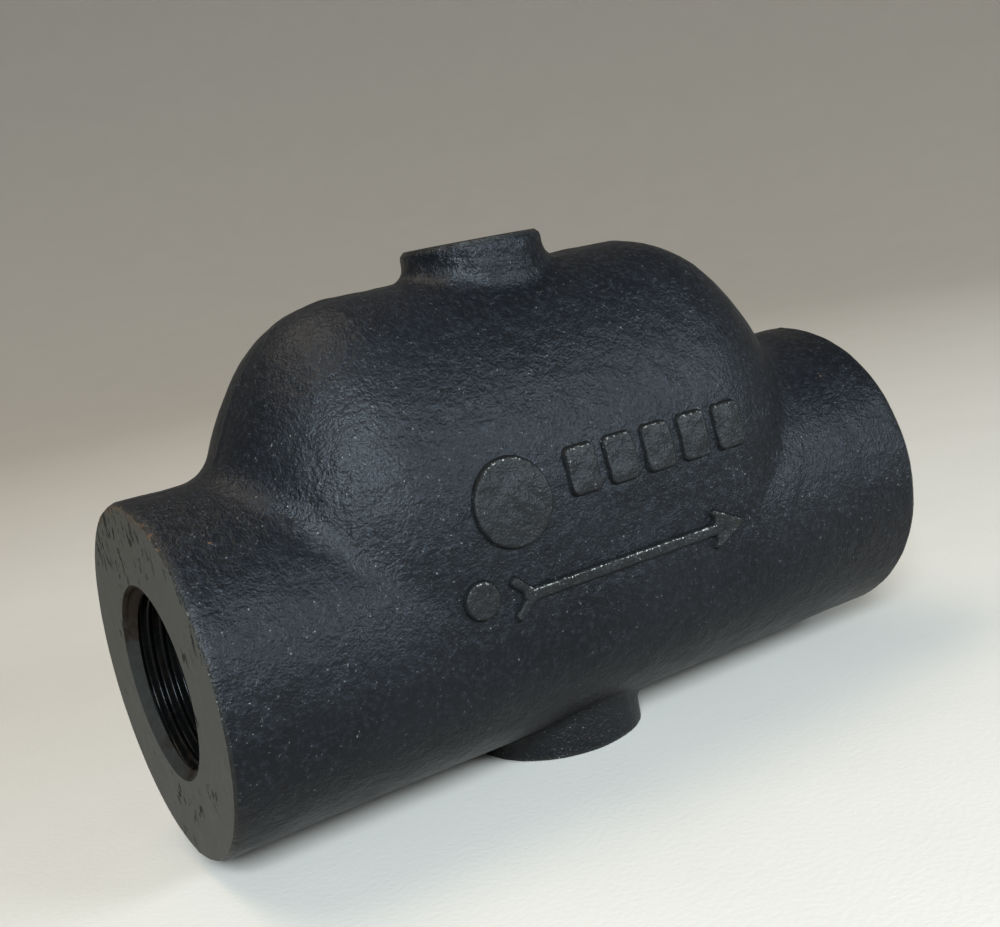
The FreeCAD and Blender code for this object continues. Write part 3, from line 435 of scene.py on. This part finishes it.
def raised_marks(name, side):
    """The marks that stand out of one side: a fine patch that rises from under the skin where they are."""
    xs, zs = np.arange(*MARKS_X, MARK_GRID), np.arange(*MARKS_RISE, MARK_GRID)
    x, z = np.meshgrid(xs, zs, indexing="ij")
    gap = marks_distance(x, z)
    slope = np.clip((0.42 - gap) / 0.72, 0, 1)
    slope = slope * slope * (3 - 2 * slope)
    flank = zip(x.ravel(), z.ravel())
    worn = np.array([noise.noise(Vector((a * 0.35, side * 9.0, b * 0.35))) for a, b in flank])
    height = MARK_ROOT + slope * (MARK_HEIGHT + MARK_WEAR * worn.reshape(x.shape))
    base = skin(x, z)
    lift = [waviness((a, side * b, c + AXIS)) for a, b, c in zip(x.ravel(), base.ravel(), z.ravel())]
    base = base + np.array(lift).reshape(x.shape)
    outward = np.minimum(base + height, RUN + MARK_TOP)
    where = np.stack([x, side * outward, z + AXIS], axis=-1) * MM
    count = len(zs)
    keep = gap < 0.95
    faces = []
    for i in range(len(xs) - 1):
        for j in range(count - 1):
            if keep[i, j] or keep[i + 1, j] or keep[i, j + 1] or keep[i + 1, j + 1]:
                quad = (i * count + j, (i + 1) * count + j, (i + 1) * count + j + 1, i * count + j + 1)
                faces.append(quad if side < 0 else quad[::-1])
    made = new_object(name, where.reshape(-1, 3), faces)
    # paint is worn most along the upper edges, and painted shade darkens the foot
    facing_up = np.gradient(gap, MARK_GRID, axis=1)
    edge = np.clip(1 - np.abs(gap + 0.30) / 0.60, 0, 1) * np.clip(0.15 + 0.85 * facing_up, 0, 1)
    paint_values(made.data, "wear", (0.33 * np.clip(height / 0.9, 0, 1) + 0.43 * edge).ravel())
    # painted shade: a dark ring where the marks meet the skin
    foot_shade = np.clip(1.6 - np.abs(gap - 0.25) / 0.40, 0, 1)
    paint_values(made.data, "crease_shade", foot_shade.ravel())
    with edited(made.data) as body:
        bmesh.ops.delete(body, geom=[v for v in body.verts if not v.link_faces], context="VERTS")
    return made


# --------------------------------------------------------------------------- materials


class Shader:
    """A node material round one Principled shader, with short calls for its nodes."""

    def __init__(self, name):
        self.material = bpy.data.materials.new(name)
        self.material.use_nodes = True
        self.tree = self.material.node_tree
        self.tree.nodes.clear()
        out = self.tree.nodes.new("ShaderNodeOutputMaterial")
        self.surface = self.tree.nodes.new("ShaderNodeBsdfPrincipled")
        self.tree.links.new(self.surface.outputs[0], out.inputs[0])
        self.place = self.tree.nodes.new("ShaderNodeTexCoord").outputs["Object"]

    def link(self, source, target):
        """Feed a socket from another one or with a plain value."""
        if hasattr(source, "is_linked"):
            self.tree.links.new(source, target)
        else:
            target.default_value = source

    def set(self, **values):
        for name, value in values.items():
            self.link(value, self.surface.inputs[name.replace("_", " ")])

    def stretched(self, scale):
        node = self.tree.nodes.new("ShaderNodeMapping")
        node.inputs["Scale"].default_value = scale
        self.tree.links.new(self.place, node.inputs["Vector"])
        return node.outputs[0]

    def noise(self, scale, detail=2.0, rough=0.5, distortion=0.0, place=None):
        node = self.tree.nodes.new("ShaderNodeTexNoise")
        self.tree.links.new(place or self.place, node.inputs["Vector"])
        settings = (("Scale", scale), ("Detail", detail), ("Roughness", rough), ("Distortion", distortion))
        for key, value in settings:
            node.inputs[key].default_value = value
        return node.outputs["Fac"]

    def lines(self, along, scale, detail):
        """Noise along one number, the same all the way across it."""
        node = self.tree.nodes.new("ShaderNodeTexNoise")
        node.noise_dimensions = "1D"
        node.inputs["Scale"].default_value = scale
        node.inputs["Detail"].default_value = detail
        self.tree.links.new(along, node.inputs["W"])
        return node.outputs["Fac"]

    def attribute(self, name):
        node = self.tree.nodes.new("ShaderNodeAttribute")
        node.attribute_name = name
        return node.outputs["Fac"]

    def ramp(self, value, low, high, start=0.0, end=1.0):
        """A smooth step from start to end as the value goes from low to high."""
        node = self.tree.nodes.new("ShaderNodeMapRange")
        node.interpolation_type = "SMOOTHSTEP"
        for key, number in (("From Min", low), ("From Max", high), ("To Min", start), ("To Max", end)):
            node.inputs[key].default_value = number
        self.tree.links.new(value, node.inputs["Value"])
        return node.outputs[0]

    def math(self, operation, a, b=0.0, clamp=False):
        node = self.tree.nodes.new("ShaderNodeMath")
        node.operation = operation
        node.use_clamp = clamp
        self.link(a, node.inputs[0])
        self.link(b, node.inputs[1])
        return node.outputs[0]

    def plus(self, value, extra, share):
        """The value and a share of another."""
        return self.math("ADD", value, self.math("MULTIPLY", extra, share))

    def mix(self, factor, a, b):
        """Mix two colours."""
        node = self.tree.nodes.new("ShaderNodeMix")
        node.data_type = "RGBA"
        self.link(factor, node.inputs["Factor"])
        for socket, colour in ((node.inputs["A"], a), (node.inputs["B"], b)):
            self.link(colour if hasattr(colour, "is_linked") else (*colour, 1), socket)
        return node.outputs["Result"]

    def blend(self, factor, a, b):
        """Mix two numbers."""
        node = self.tree.nodes.new("ShaderNodeMix")
        self.link(factor, node.inputs["Factor"])
        self.link(a, node.inputs["A"])
        self.link(b, node.inputs["B"])
        return node.outputs["Result"]

    def axis(self, name):
        node = self.tree.nodes.new("ShaderNodeSeparateXYZ")
        self.tree.links.new(self.place, node.inputs[0])
        return node.outputs[name]

    def bump(self, height, distance, strength=1.0, under=None):
        """Relief on the surface, over the relief that an earlier call returned."""
        node = self.tree.nodes.new("ShaderNodeBump")
        node.inputs["Strength"].default_value = strength
        node.inputs["Distance"].default_value = distance
        self.tree.links.new(height, node.inputs["Height"])
        if under:
            self.tree.links.new(under, node.inputs["Normal"])
        self.tree.links.new(node.outputs[0], self.surface.inputs["Normal"])
        return node.outputs[0]


def painted_iron():
    """Black paint over a sand casting: pebbled, satin, worn through on marks and rims, rusty at the ends,
    with painted shade at the marks' feet and painted glints on the pebbles.
    """
    s = Shader("painted_iron")
    pebbles = s.noise(960, 2.0, 0.5, 0.2)
    grains = s.noise(2100, 2.0, 0.6)
    broad = s.noise(90, 3.0, 0.6)
    patches = s.noise(34, 4.0, 0.6, 0.4)
    wear, rust, crease_shade = (s.attribute(name) for name in ("wear", "rust", "crease_shade"))
    # bare metal in chips, light flecks on the pebble tops as painted glints, rust in patches and spots
    dots = s.ramp(s.noise(2700, 1.0, 0.4), 0.71, 0.76)
    glint_fleck = s.math("MULTIPLY", dots, s.ramp(pebbles, 0.50, 0.60))
    chip = s.ramp(s.math("ADD", wear, s.noise(1300, 3.0, 0.75, 0.5)), 1.19, 1.30)
    bare_and_glint = s.math("MAXIMUM", chip, s.math("MULTIPLY", glint_fleck, 0.5))
    spots = s.ramp(s.noise(520, 2.0, 0.5), 0.785, 0.81)
    patchy = s.ramp(s.plus(rust, s.noise(420, 4.0, 0.7), 0.9), 1.12, 1.30)
    rusty = s.math("MAXIMUM", patchy, spots)
    # paint, lighter on the pebbles, near the floor and on worn tops, with painted shade blackest in the
    # creases at the marks' feet
    black = s.mix(s.ramp(patches, 0.35, 0.7), (0.0020, 0.0024, 0.0032), (0.0036, 0.0042, 0.0054))
    black = s.mix(s.ramp(pebbles, 0.45, 0.75), black, (0.0070, 0.0080, 0.0102))
    # lighter and warmer towards the floor
    near_floor = s.math("MULTIPLY", s.ramp(s.axis("Z"), 0.030, 0.006), 0.6)
    black = s.mix(near_floor, black, (0.0052, 0.0048, 0.0042))
    black = s.mix(s.ramp(wear, 0.22, 0.40, 0.0, 0.55), black, (0.012, 0.0110, 0.0090))
    # painted shade: near black in the creases at the marks' feet
    black = s.mix(crease_shade, black, (0.0008, 0.0008, 0.0008))
    # chips show bare metal, and the flecks on the pebbles are painted glints in the same colour
    colour = s.mix(bare_and_glint, black, (0.24, 0.232, 0.205))
    brown = s.mix(s.noise(900, 3.0, 0.7), (0.022, 0.011, 0.006), (0.095, 0.050, 0.022))
    colour = s.mix(rusty, colour, brown)
    rough = s.ramp(broad, 0.3, 0.7, 0.37, 0.46)
    rough = s.blend(rusty, s.blend(bare_and_glint, rough, 0.32), 0.85)
    rough = s.blend(crease_shade, rough, 0.7)
    metallic = s.math("MULTIPLY", bare_and_glint, 0.65)
    s.set(Base_Color=colour, Roughness=rough, Metallic=metallic, Specular_IOR_Level=0.15)
    relief = s.bump(s.noise(260, 3.0, 0.55), 0.0009, 0.5)
    relief = s.bump(pebbles, 0.00019, 1.0, relief)
    s.bump(grains, 0.00021, 0.9, relief)
    return s.material


def faced_iron():
    """A turned iron face: dull grey, fine rings, pits and a little rust at the top of the ends."""
    s = Shader("faced_iron")
    rise = s.math("SUBTRACT", s.axis("Z"), AXIS * MM)
    radius = s.math("ADD", s.math("POWER", s.axis("Y"), 2.0), s.math("POWER", rise, 2.0))
    radius = s.math("SQRT", radius)
    rings = s.lines(radius, 5200, 2)
    broad = s.noise(70, 4.0, 0.6, 0.5)
    high = s.ramp(s.axis("Z"), 0.040, 0.062)
    pits = s.ramp(s.noise(520, 2.0, 0.6, place=s.stretched((1, 1.5, 0.8))), 0.38, 0.44, 1.0, 0.0)
    clusters = s.ramp(s.plus(s.noise(95, 2.0, 0.5), high, 0.22), 0.58, 0.68)
    pits = s.math("MULTIPLY", pits, clusters)
    under_top_boss = s.ramp(s.axis("Z"), 0.072, 0.080, 1.0, 0.0)
    end_top = s.math("MULTIPLY", s.ramp(s.axis("Z"), 0.055, 0.067), under_top_boss)
    outer = s.math("MULTIPLY", s.ramp(radius, 0.0265, 0.0316), end_top)
    top_patch = s.ramp(s.plus(s.noise(210, 4.0, 0.7), outer, 0.24), 0.62, 0.74)
    scratch = s.ramp(s.noise(190, 2.0, 0.5, place=s.stretched((1, 9, 0.6))), 0.66, 0.70)
    grey = s.mix(s.ramp(broad, 0.3, 0.7), (0.024, 0.0235, 0.0200), (0.042, 0.0412, 0.0350))
    grey = s.mix(s.math("MULTIPLY", scratch, 0.35), grey, (0.065, 0.065, 0.057))
    colour = s.mix(s.math("MULTIPLY", pits, 0.75), grey, (0.003, 0.003, 0.0027))
    rust = s.mix(s.noise(700, 2.0, 0.5), (0.020, 0.014, 0.009), (0.062, 0.040, 0.022))
    colour = s.mix(s.math("MULTIPLY", top_patch, 0.8), colour, rust)
    rough = s.blend(pits, s.ramp(broad, 0.3, 0.7, 0.44, 0.60), 0.95)
    s.set(Base_Color=colour, Roughness=rough, Metallic=0.1, Specular_IOR_Level=0.12)
    relief = s.bump(rings, 0.00003, 0.6)
    s.bump(s.math("SUBTRACT", s.noise(400, 3.0, 0.6), pits), 0.00014, 0.6, relief)
    return s.material


def shaded_thread():
    """Cut thread, painted nearly black as the shade deep in the bore, with a bloom of rust near the mouth.
    """
    s = Shader("shaded_thread")
    spots = s.noise(260, 4.0, 0.7)
    near = s.ramp(s.math("ABSOLUTE", s.axis("X")), 0.0725, 0.0762)
    bloom = s.math("MULTIPLY", s.ramp(spots, 0.50, 0.66), s.math("ADD", near, 0.08), True)
    # painted shade: nearly black, as deep inside the bore
    dark = s.mix(s.noise(500, 2.0, 0.5), (0.0007, 0.0007, 0.0007), (0.0030, 0.0029, 0.0027))
    colour = s.mix(s.math("MULTIPLY", bloom, 0.7), dark, (0.030, 0.017, 0.009))
    s.set(Base_Color=colour, Roughness=s.ramp(spots, 0.3, 0.7, 0.16, 0.34), Specular_IOR_Level=0.07)
    s.bump(s.noise(1500, 3.0, 0.6), 0.00005, 0.5)
    return s.material


def mouth_iron():
    """The chamfer at a port's mouth: grey below, dark brown above, rust with painted shade over it."""
    s = Shader("mouth_iron")
    cloud = s.noise(150, 4.0, 0.65)
    high = s.ramp(s.axis("Z"), 0.034, 0.050)
    # the top goes dark brown: rust, with painted shade in the upper part of the mouth and bores
    top_patch = s.ramp(s.plus(cloud, high, 0.34), 0.50, 0.68)
    grey = s.mix(s.noise(500, 3.0, 0.6), (0.009, 0.0088, 0.008), (0.020, 0.0195, 0.017))
    brown = s.mix(s.noise(800, 3.0, 0.7), (0.0030, 0.0024, 0.0020), (0.016, 0.0100, 0.0065))
    rough = s.ramp(cloud, 0.3, 0.7, 0.60, 0.80)
    s.set(Base_Color=s.mix(top_patch, grey, brown), Roughness=rough, Specular_IOR_Level=0.05)
    s.bump(s.noise(1100, 3.0, 0.6), 0.00012, 0.6)
    return s.material


def raw_casting():
    """The unpainted inside of the casting: grey-brown sand finish."""
    s = Shader("raw_casting")
    grain = s.noise(800, 4.0, 0.6)
    tone = s.mix(s.noise(60, 4.0, 0.6), (0.030, 0.024, 0.019), (0.070, 0.052, 0.038))
    tone = s.mix(s.ramp(grain, 0.4, 0.7), tone, (0.09, 0.075, 0.06))
    s.set(Base_Color=tone, Roughness=0.75, Metallic=0.1)
    s.bump(grain, 0.0004, 0.7)
    return s.material


def metal(name, low, high, rough, streak, scale, metallic, spots):
    """Worked metal: two tones, a lay of fine marks and a little staining."""
    s = Shader(name)
    lay = s.noise(scale, 3.0, 0.6, place=s.stretched(streak))
    cloud = s.noise(90, 3.0, 0.6)
    colour = s.mix(s.ramp(cloud, 0.3, 0.7), low, high)
    colour = s.mix(s.ramp(s.noise(240, 4.0, 0.7), 0.62, 0.75, 0, spots), colour, (0.05, 0.032, 0.02))
    s.set(Base_Color=colour, Roughness=s.ramp(lay, 0.3, 0.7, rough - 0.06, rough + 0.1), Metallic=metallic)
    s.bump(lay, 0.00004, 0.6)
    return s.material


PAINT, FACED, THREAD = painted_iron(), faced_iron(), shaded_thread()
RUST_AND_SHADE, RAW = mouth_iron(), raw_casting()

METALS = (
    # name, darker and lighter tone, roughness, streaks, their scale, metallic, staining
    ("stainless", (0.42, 0.42, 0.40), (0.58, 0.575, 0.55), 0.30, (1, 6, 6), 420, 1.0, 0.0),
    ("hard_steel", (0.30, 0.30, 0.30), (0.46, 0.46, 0.46), 0.24, (8, 1, 1), 600, 1.0, 0.0),
    ("spring_steel", (0.030, 0.033, 0.045), (0.10, 0.10, 0.12), 0.34, (1, 1, 1), 700, 1.0, 0.0),
    ("brass", (0.40, 0.27, 0.11), (0.62, 0.44, 0.19), 0.30, (10, 1, 1), 500, 1.0, 0.4),
    ("plug_iron", (0.020, 0.020, 0.020), (0.050, 0.047, 0.043), 0.44, (1, 1, 1), 700, 0.5, 0.7),
    ("gasket", (0.018, 0.018, 0.018), (0.045, 0.044, 0.042), 0.72, (1, 1, 1), 900, 0.0, 0.0),
)
FINISHES = {name: metal(name, *look) for name, *look in METALS}
FINISHES["painted_iron"] = PAINT

for part in frame["record"]["subparts"]:
    for slot in frame["nodes"][part["node"]].material_slots:
        slot.material = FINISHES[part["material_slot"]]

# --------------------------------------------------------------------------- pieces

SKIN_KIND, FACE_KIND, BORE_KIND, RAW_KIND = range(4)
ON_FACE = 0.05  # how near a plane counts as lying on it, mm
SQUARE = 0.99  # how nearly a face's normal points along an axis
PORT_BORE, PORT_FROM = 17.6, 50  # the machined bores: radius, and where they start or end
TOP_BORE, TOP_FROM = 10.6, AXIS + 50
DRAIN_BORE, DRAIN_TO = 13.2, 12.9
RIM_WEAR, BOSS_WEAR, END_RUST = 0.62, 0.55, 0.72


def shade(piece, degrees=38):
    piece.data.shade_smooth()
    piece.data.set_sharp_from_angle(angle=math.radians(degrees))


def finish_casting(casting):
    """Give the casting its four surfaces: painted skin, faced ends, bores that go dark brown above with rust
    and painted shade, and raw inside.
    """
    mesh = casting.data
    mesh.materials.clear()
    for material in (PAINT, FACED, RUST_AND_SHADE, RAW):
        mesh.materials.append(material)
    centre, out = column(mesh.polygons, "center") / MM, column(mesh.polygons, "normal")
    x, y, z = centre.T
    from_run, from_stem = np.hypot(y, z - AXIS), np.hypot(x, y)
    kind = np.full(len(mesh.polygons), SKIN_KIND, dtype=np.int32)
    # a step outwards from a wall of the chamber stays inside the casting's outline
    probe = centre + 1.5 * out
    within = np.abs(probe[:, 1]) < skin(probe[:, 0], probe[:, 2] - AXIS)
    kind[within & (np.abs(probe[:, 0]) < HALF)] = RAW_KIND
    kind[(from_run < PORT_BORE) & (np.abs(x) > PORT_FROM) & (np.abs(x) < HALF - ON_FACE)] = BORE_KIND
    kind[(from_stem < TOP_BORE) & (z > TOP_FROM) & (z < TOP_FACE - ON_FACE)] = BORE_KIND
    kind[(from_stem < DRAIN_BORE) & (z > ON_FACE) & (z < DRAIN_TO)] = BORE_KIND
    kind[(np.abs(x) > HALF - ON_FACE) & (np.abs(out[:, 0]) > SQUARE)] = FACE_KIND
    kind[(z > TOP_FACE - ON_FACE) & (out[:, 2] > SQUARE)] = FACE_KIND
    kind[(z < ON_FACE) & (out[:, 2] < -SQUARE)] = FACE_KIND
    mesh.polygons.foreach_set("material_index", kind)
    x, y, z = points(mesh).T
    from_run, from_stem = np.hypot(y, z - AXIS), np.hypot(x, y)
    rim = np.clip((np.abs(x) - HALF + END_ROUND) / END_ROUND, 0, 1) * (from_run > RUN - 2.5)
    boss = np.clip((z - TOP_FACE + 1.6) / 1.6, 0, 1) + np.clip((1.2 - z) / 1.2, 0, 1)
    paint_values(mesh, "wear", RIM_WEAR * rim + BOSS_WEAR * np.clip(boss, 0, 1) * (from_stem < 18))
    top = np.clip((z - AXIS - 8) / 18, 0, 1)
    near_end = np.clip((np.abs(x) - HALF + 5) / 5, 0, 1)
    paint_values(mesh, "rust", END_RUST * near_end * top)
    shade(casting)
    for face in mesh.polygons:
        if face.material_index == FACE_KIND:
            face.use_smooth = False


casting = make_casting()
finish_casting(casting)
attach(casting, "casting")
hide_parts("body")

for name, side in (("marks_front", -1), ("marks_back", 1)):
    marks = raised_marks(name, side)
    marks.data.materials.append(PAINT)
    marks.data.shade_smooth()
    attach(marks, "casting")

for name, side in (("inlet_thread", -1), ("outlet_thread", 1)):
    cut_thread = thread(name, side)
    cut_thread.data.materials.append(THREAD)
    cut_thread.data.materials.append(RUST_AND_SHADE)
    for face in cut_thread.data.polygons:
        depth = HALF - abs(face.center.x) / MM
        face.material_index = int(depth < CHAMFER_DEPTH)
    shade(cut_thread, 60)
    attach(cut_thread, "casting")

# --------------------------------------------------------------------------- floor and light

LEVEL_RADIUS, SWEEP_RADIUS, SWEEP_DEGREES, SWEEP_STEPS = 0.8, 1.2, 80, 12
FLOOR_DROP = 0.0002  # keeps the floor clear of the face that stands on it
LIGHTS_AIM = (0, 0, 0.05)
COOL, WARM = (0.74, 0.88, 1.0), (1.0, 0.88, 0.72)
LIGHTS = (
    # name, place, size, power, colour
    ("window", (-0.45, -0.72, 0.50), (0.34, 0.28), 23, COOL),
    ("side_window", (0.55, -0.85, 0.42), (0.46, 0.18), 13, COOL),
    ("overhead", (-0.30, 0.30, 1.25), (0.8, 0.6), 10, WARM),
)
ROOM_COLOUR, ROOM_STRENGTH = (0.62, 0.56, 0.48, 1), 0.22


def make_stage():
    """A pale floor, level in the middle and swept up all round so that no view meets an edge."""
    profile = [(0.3, 0.0), (LEVEL_RADIUS, 0.0)]
    for step in range(1, SWEEP_STEPS + 1):
        turn = math.radians(SWEEP_DEGREES * step / SWEEP_STEPS)
        profile.append((LEVEL_RADIUS + SWEEP_RADIUS * math.sin(turn), SWEEP_RADIUS * (1 - math.cos(turn))))
    around = 96
    vertices = [
        (r * math.cos(2 * math.pi * k / around), r * math.sin(2 * math.pi * k / around), z - FLOOR_DROP)
        for r, z in profile
        for k in range(around)
    ]
    faces = [tuple(range(around))]
    for row in range(len(profile) - 1):
        for k in range(around):
            after = (k + 1) % around
            low, high = row * around, (row + 1) * around
            faces.append((low + k, high + k, high + after, low + after))
    floor = new_object("floor", vertices, faces)
    floor.data.shade_smooth()
    s = Shader("pale_floor")
    tone = s.mix(s.noise(30, 3.0, 0.6), (0.41, 0.376, 0.328), (0.44, 0.404, 0.354))
    s.set(Base_Color=tone, Roughness=0.85)
    s.bump(s.noise(900, 2.0, 0.5), 0.0002, 0.3)
    floor.data.materials.append(s.material)


def area_light(name, at, size, power, colour):
    data = bpy.data.lights.new(name, "AREA")
    data.shape = "RECTANGLE"
    data.size, data.size_y = size
    data.energy = power
    data.color = colour
    light = add_object(name, data)
    light.location = at
    light.rotation_mode = "QUATERNION"
    light.rotation_quaternion = (Vector(LIGHTS_AIM) - Vector(at)).to_track_quat("-Z", "Y")


def make_lights():
    """Two cool windows in front, a warm light overhead and a dim warm room."""
    world = bpy.data.worlds.new("studio")
    world.use_nodes = True
    sky = world.node_tree.nodes["Background"]
    sky.inputs["Color"].default_value = ROOM_COLOUR
    sky.inputs["Strength"].default_value = ROOM_STRENGTH
    bpy.context.scene.world = world
    bpy.context.scene.view_settings.view_transform = "Standard"
    for light in LIGHTS:
        area_light(*light)


make_stage()
make_lights()
